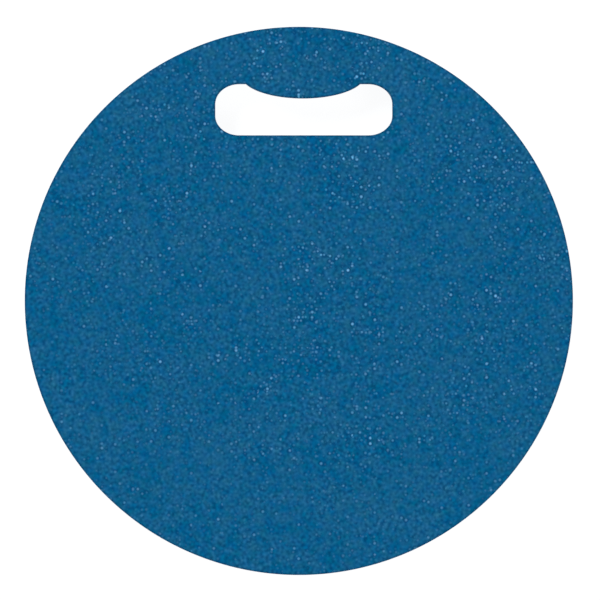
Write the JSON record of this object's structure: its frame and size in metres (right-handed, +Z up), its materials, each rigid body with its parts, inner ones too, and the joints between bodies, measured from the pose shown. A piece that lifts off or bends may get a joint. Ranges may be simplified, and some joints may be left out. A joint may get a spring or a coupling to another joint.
{
  "type": "round kneeling pad",
  "caption": "Flat round pad of firm closed-cell foam in bonded plies, with a gripped hand slot near the rim, to kneel on while laying floors.",
  "frame": {"origin": "centre of the disc on its underside, on the surface it lies on", "axes": "+Z up through the pad's thickness, +Y from the disc's centre towards the hand slot, +X to the right when the slot is at the top of the upper face"},
  "size_m": [0.3556, 0.3556, 0.0254],
  "materials": {
    "face_foam": "matte",
    "core_foam": "matte",
    "bond_film": "satin"
  },
  "bodies": {
    "root": {"bottom_ply": "face_foam", "lower_bond_film": "bond_film", "core_ply": "core_foam", "upper_bond_film": "bond_film", "top_ply": "face_foam"}
  },
  "joints": []
}
